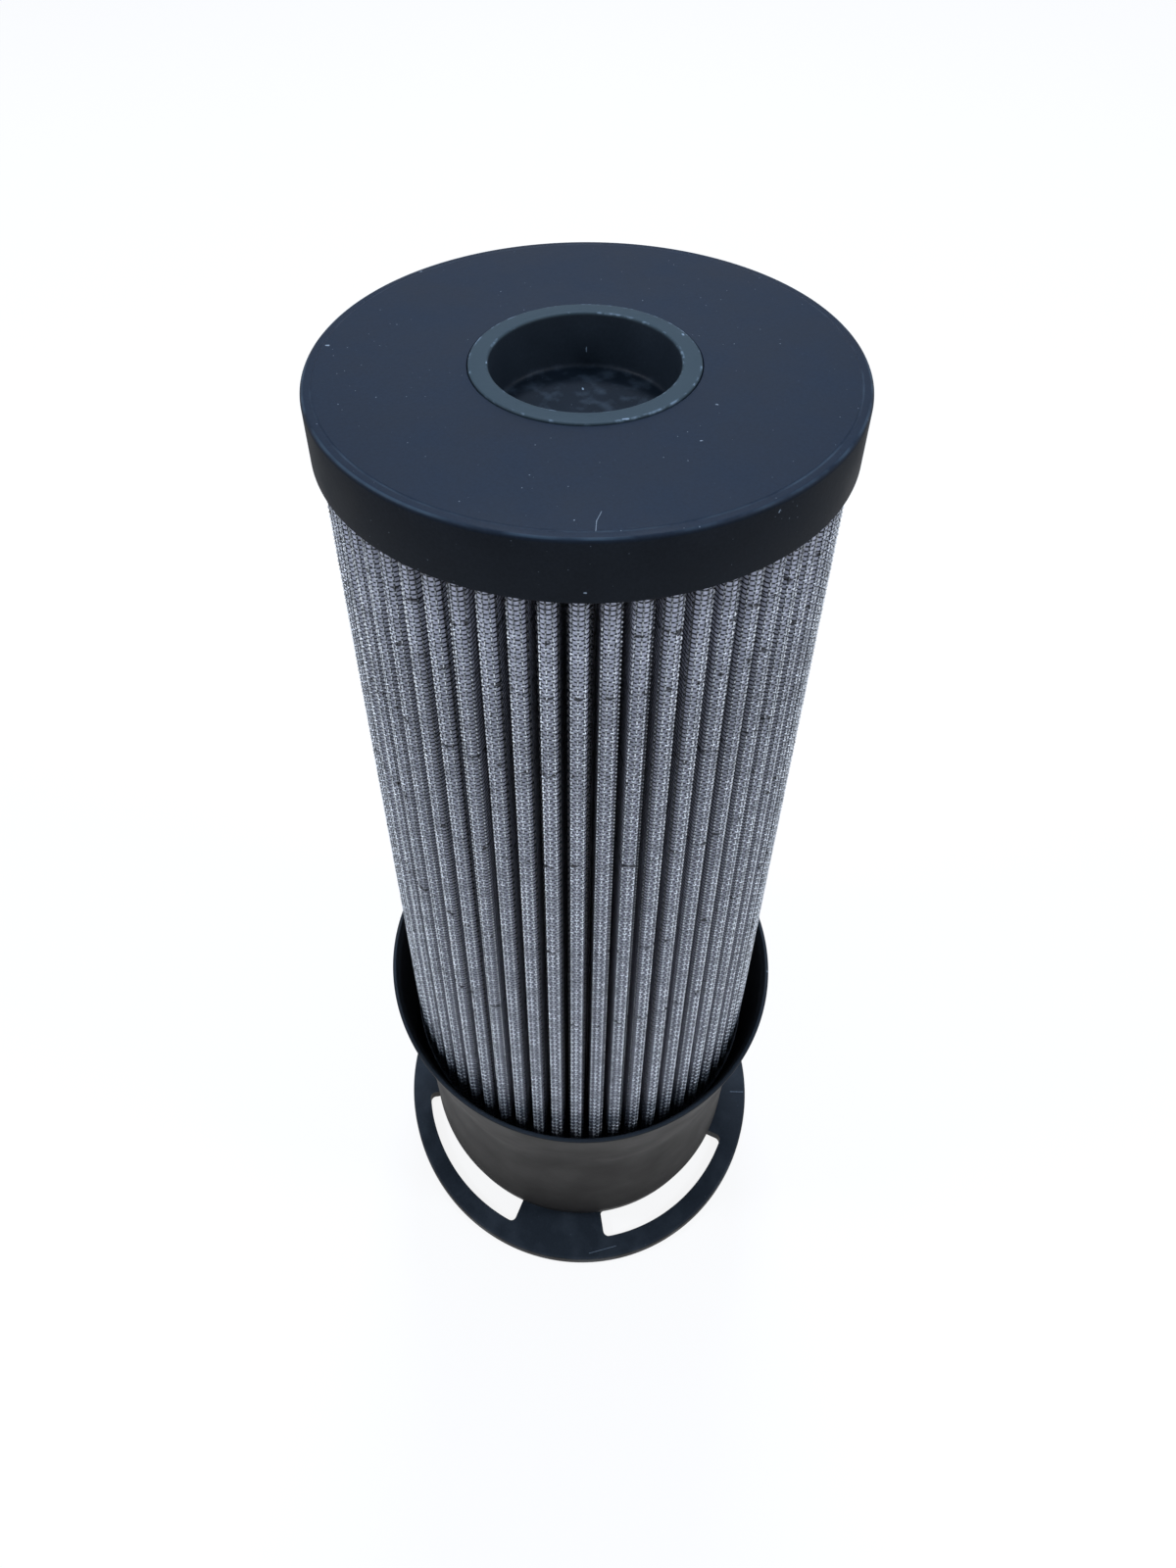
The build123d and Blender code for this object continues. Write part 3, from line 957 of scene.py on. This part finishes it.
# %% Fleece behind the wires
def fleece_material():
    """Pale fleece with the wire grid over it, drawn dark at its lower end."""
    material, tree = new_material("fleece_under_wires")
    marks = add_node(tree, "ShaderNodeUVMap", {"uv_map": "cloth_mm"}).outputs["UV"]
    split = add_node(tree, "ShaderNodeSeparateXYZ", None, {"Vector": marks})
    lines = []
    for axis, pitch, strength in (("X", warp_pitch, 0.45), ("Y", weft_pitch, 1.0)):
        count = add_node(tree, "ShaderNodeMath", {"operation": "DIVIDE"}, {
            0: split.outputs[axis], 1: pitch,
        })
        off = add_node(tree, "ShaderNodeMath", {"operation": "PINGPONG"}, {
            0: count.outputs["Value"], 1: 0.5,
        })
        line = add_node(tree, "ShaderNodeMapRange", None, {
            "Value": off.outputs["Value"], "From Min": 0.19, "From Max": 0.14,
            "To Max": strength,
        })
        lines.append(line.outputs["Result"])
    wires = combine(tree, "MAXIMUM", lines)
    # fibres of about 0.02 mm are too fine to show, so they are drawn as 0.4 mm clouds
    fibres = add_node(tree, "ShaderNodeTexNoise", None, grains(tree, 0.4, 4.0))
    pale = add_node(tree, "ShaderNodeMix", RGBA_MIX, {
        MIX_FACTOR: fibres.outputs["Fac"], MIX_A: colour("5f5f65"), MIX_B: colour("b0b0ba"),
    })
    # it is drawn paler close under the cap
    paler_under_cap = add_node(tree, "ShaderNodeVectorMath", {"operation": "SCALE"}, {
        0: pale.outputs[MIX_OUT],
        "Scale": level_fade(tree, cap_foot - 30, cap_foot - 8, 1.0, 1.6),
    })
    bump = add_node(tree, "ShaderNodeBump", None, {
        "Height": wires, "Strength": 0.8, "Distance": wire_radius * MM,
    })
    surface = add_node(tree, "ShaderNodeBsdfPrincipled", None, {
        "Base Color": paler_under_cap.outputs["Vector"], "Roughness": 0.65,
        "Normal": bump.outputs["Normal"],
    })
    add_node(tree, "ShaderNodeOutputMaterial", None, {"Surface": surface.outputs["BSDF"]})
    paint(material, "141518", wires)
    paint(material, "0e0f11", dark_dash_mask(tree), 0.9)
    paint(material, "101317", dark_foot_mask(tree))
    return material


fleece.data.materials.append(fleece_material())
print("fleece nodes:", len(fleece.data.materials[0].node_tree.nodes))

# %% [markdown]
# ## Wire cloth
# Steel wire under a dark epoxy coat. Where a wire comes up over the one it crosses, bright bare
# steel is drawn with a painted near-white glint: those knuckles are the sparkle of the cloth, and
# only the crest tops get them. Noise alone would scatter the glints, so each wire's mesh says how
# far out its points stand, and the glints follow the weave.

# %% Wire cloth
def coated_wire_material():
    """Dark coated wire whose knuckles are bright steel with a painted near-white glint."""
    material, tree = new_material("coated_wire")
    knuckle = add_node(tree, "ShaderNodeAttribute", {"attribute_name": "knuckle"}).outputs["Fac"]
    glint_ramp = add_node(tree, "ShaderNodeMapRange", None, {
        "Value": knuckle, "From Min": -0.1, "From Max": 0.35,
    })
    outside_dark_marks = add_node(tree, "ShaderNodeMath", {"operation": "SUBTRACT"}, {
        0: 1.0, 1: combine(tree, "MAXIMUM", [dark_foot_mask(tree), dark_dash_mask(tree)]),
    })
    # painted shade: the glints fade just under the cap, where its shadow falls
    bare_steel_glint = combine(tree, "MULTIPLY", [
        glint_ramp.outputs["Result"], patches(tree, 2.5, 0.35, 0.6, 0.45, 1.0),
        outside_dark_marks.outputs["Value"], level_fade(tree, cap_foot - 1, cap_foot - 9, 0.25, 1.0),
    ])
    blotches = add_node(tree, "ShaderNodeTexNoise", None, grains(tree, 2.0))
    coat = add_node(tree, "ShaderNodeMix", RGBA_MIX, {
        MIX_FACTOR: blotches.outputs["Fac"], MIX_A: colour("141619"), MIX_B: colour("24282d"),
    })
    surface = add_node(tree, "ShaderNodeBsdfPrincipled", None, {
        "Base Color": coat.outputs[MIX_OUT], "Roughness": 0.32,
        "Metallic": combine(tree, "MULTIPLY", [bare_steel_glint, 0.5]),
    })
    add_node(tree, "ShaderNodeOutputMaterial", None, {"Surface": surface.outputs["BSDF"]})
    # painted highlight: a near-white glint colour on the knuckles, with a metallic reflection
    paint(material, "f6fafd", bare_steel_glint)
    return material


wire_material = coated_wire_material()
for piece in wire_pieces:
    piece.data.materials.append(wire_material)
print("wire nodes:", len(wire_material.node_tree.nodes))

# %% [markdown]
# ## Pieces inside
# The support tube, the lower cap, the seal and the resin are plain CAD solids. They only show
# from below or through a gap, so they keep their shapes and get their own finishes: nylon like
# the caps', white glass mat, amber adhesive, glossy black resin and dull black rubber.

# %% Pieces inside
def plain_finish(name, dark_hex, light_hex, patch, roughness, bump_depth):
    """A finish in two close tones, in patches of a size in millimetres, with a fine bump."""
    material, tree = new_material(name)
    cloud = add_node(tree, "ShaderNodeTexNoise", None, grains(tree, patch, 5.0)).outputs["Fac"]
    tone = add_node(tree, "ShaderNodeMix", RGBA_MIX, {
        MIX_FACTOR: cloud, MIX_A: colour(dark_hex), MIX_B: colour(light_hex),
    })
    bump = add_node(tree, "ShaderNodeBump", None, {
        "Height": cloud, "Strength": 0.6, "Distance": bump_depth * MM,
    })
    surface = add_node(tree, "ShaderNodeBsdfPrincipled", None, {
        "Base Color": tone.outputs[MIX_OUT], "Roughness": roughness,
        "Normal": bump.outputs["Normal"],
    })
    add_node(tree, "ShaderNodeOutputMaterial", None, {"Surface": surface.outputs["BSDF"]})
    return material


inner_finishes = {
    "core_tube": moulded_nylon("core_nylon", "17191c", "1d2126", 0.5, 0.3, 0.3, 0.2),
    "bottom_end_cap": moulded_nylon("lower_cap_nylon", "151719", "1b1f24", 0.5, 0.3, 0.3, 0.2),
    "filter_media": plain_finish("glass_mat", "b9bcbf", "e3e5e6", 0.6, 0.85, 0.1),
    "pleat_seam": plain_finish("seam_adhesive", "6d6250", "8b7f69", 3.0, 0.35, 0.1),
    "top_adhesive": plain_finish("potting_resin", "14161a", "24282e", 5.0, 0.3, 0.2),
    "bottom_adhesive": plain_finish("foot_resin", "101317", "1d2228", 5.0, 0.25, 0.3),
    "outlet_seal": plain_finish("seal_rubber", "0e0e0f", "171718", 1.5, 0.6, 0.02),
}
for node, finish in inner_finishes.items():
    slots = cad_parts[node].data.materials
    slots.clear()
    slots.append(finish)
    print(node, "finish:", finish.name)

# %% [markdown]
# ## Floor, light and camera
# The floor is white paper. To the camera it also glows, just enough for the open floor to reach
# white, and the share of it that is lit as paper keeps the object's shadow. Broad soft light from
# a pale sky and three square lamps leaves the colours about as they are written.

# %% Floor
floor_reach = 6.0
glow_share = 0.85
glow_strength = 1.03

floor_mesh = bpy.data.meshes.new("studio_floor")
floor_corners = [
    (x * floor_reach, y * floor_reach, 0) for x, y in ((-1, -1), (1, -1), (1, 1), (-1, 1))
]
floor_mesh.from_pydata(floor_corners, [], [(0, 1, 2, 3)])
floor = bpy.data.objects.new("studio_floor", floor_mesh)
floor.location.z = cad_box[0].z
bpy.context.scene.collection.objects.link(floor)

floor_paint, tree = new_material("floor_paper")
rays = add_node(tree, "ShaderNodeLightPath")
seen = combine(tree, "MAXIMUM", [
    rays.outputs[kind] for kind in ("Is Camera Ray", "Is Glossy Ray", "Is Transmission Ray")
])
paper = add_node(tree, "ShaderNodeBsdfDiffuse", None, {"Color": colour("f2f2f2")})
glow = add_node(tree, "ShaderNodeEmission", None, {
    "Color": colour("ffffff"), "Strength": glow_strength,
})
mixed = add_node(tree, "ShaderNodeMixShader", None, {
    0: combine(tree, "MULTIPLY", [seen, glow_share]),
    1: paper.outputs["BSDF"], 2: glow.outputs["Emission"],
})
add_node(tree, "ShaderNodeOutputMaterial", None, {"Surface": mixed.outputs["Shader"]})
floor.data.materials.append(floor_paint)
print("floor level in mm:", round(floor.location.z / MM, 3))

# %% World
sky_strength = 0.78

world = bpy.data.worlds.new("studio")
bpy.context.scene.world = world
world.use_nodes = True
tree = world.node_tree
tree.nodes.clear()
rays = add_node(tree, "ShaderNodeLightPath")
white = add_node(tree, "ShaderNodeBackground", None, {"Color": colour("ffffff"), "Strength": 1.0})
way = add_node(tree, "ShaderNodeSeparateXYZ", None, {
    "Vector": add_node(tree, "ShaderNodeTexCoord").outputs["Generated"],
})
above = add_node(tree, "ShaderNodeMapRange", None, {
    "Value": way.outputs["Z"], "From Min": 0.0, "From Max": 0.7,
})
sky = add_node(tree, "ShaderNodeMix", RGBA_MIX, {
    MIX_FACTOR: above.outputs["Result"], MIX_A: colour("eeeaea"), MIX_B: colour("c4d8f4"),
})
soft = add_node(tree, "ShaderNodeBackground", None, {
    "Color": sky.outputs[MIX_OUT], "Strength": sky_strength,
})
mixed = add_node(tree, "ShaderNodeMixShader", None, {
    0: rays.outputs["Is Camera Ray"], 1: soft.outputs["Background"],
    2: white.outputs["Background"],
})
add_node(tree, "ShaderNodeOutputWorld", None, {"Surface": mixed.outputs["Shader"]})
print("sky strength:", sky_strength)


# %% Lamps
def soft_lamp(name, azimuth, elevation, distance, size, power, tint):
    """A square soft light that looks at the middle of the element."""
    target = Vector((0, 0, 0.13))
    lamp = bpy.data.lights.new(name, "AREA")
    lamp.size = size
    lamp.energy = power
    lamp.color = colour(tint)[:3]
    holder = bpy.data.objects.new(name, lamp)
    a, e = radians(azimuth), radians(elevation)
    way = Vector((cos(a) * cos(e), sin(a) * cos(e), sin(e)))
    holder.location = target + way * distance
    holder.rotation_euler = (-way).to_track_quat("-Z", "Y").to_euler()
    bpy.context.scene.collection.objects.link(holder)
    print(name, "distance in m:", distance, "power in W:", power)


soft_lamp("sky_light", 141, 65, 1.4, 0.25, 9.1, "dbe9ff")
soft_lamp("left_light", 245, 42, 1.3, 0.2, 4.6, "eaf1ff")
soft_lamp("right_light", 35, 42, 1.3, 0.2, 4.6, "eaf1ff")

# %% Camera
# its place and lens fit the round edges of the cap, the rim and the flange in the photograph
camera_azimuth = radians(-38.2)
camera_from_axis = 151.9
camera_height = 341.3
heading = radians(144.23)
pitch_down = radians(40.64)
roll = -0.0192

forward = Vector((
    cos(heading) * cos(pitch_down), sin(heading) * cos(pitch_down), -sin(pitch_down),
))
level_right = Vector((sin(heading), -cos(heading), 0))
level_up = level_right.cross(forward)
right = level_right * cos(roll) + level_up * sin(roll)
up = level_up * cos(roll) - level_right * sin(roll)

camera_data = bpy.data.cameras.new("camera")
camera_data.lens = 24.84
camera_data.sensor_width = 36
camera_data.sensor_fit = "AUTO"
camera_data.shift_x = 0.0254
camera_data.shift_y = -0.1407
camera_data.clip_start = 0.01
camera = bpy.data.objects.new("camera", camera_data)
camera.matrix_world = Matrix((
    (right.x, up.x, -forward.x, camera_from_axis * cos(camera_azimuth) * MM),
    (right.y, up.y, -forward.y, camera_from_axis * sin(camera_azimuth) * MM),
    (right.z, up.z, -forward.z, camera_height * MM),
    (0, 0, 0, 1),
))
bpy.context.scene.collection.objects.link(camera)
bpy.context.scene.camera = camera
bpy.context.scene.view_settings.view_transform = "Standard"
print("camera at", [round(v / MM, 1) for v in camera.matrix_world.translation])
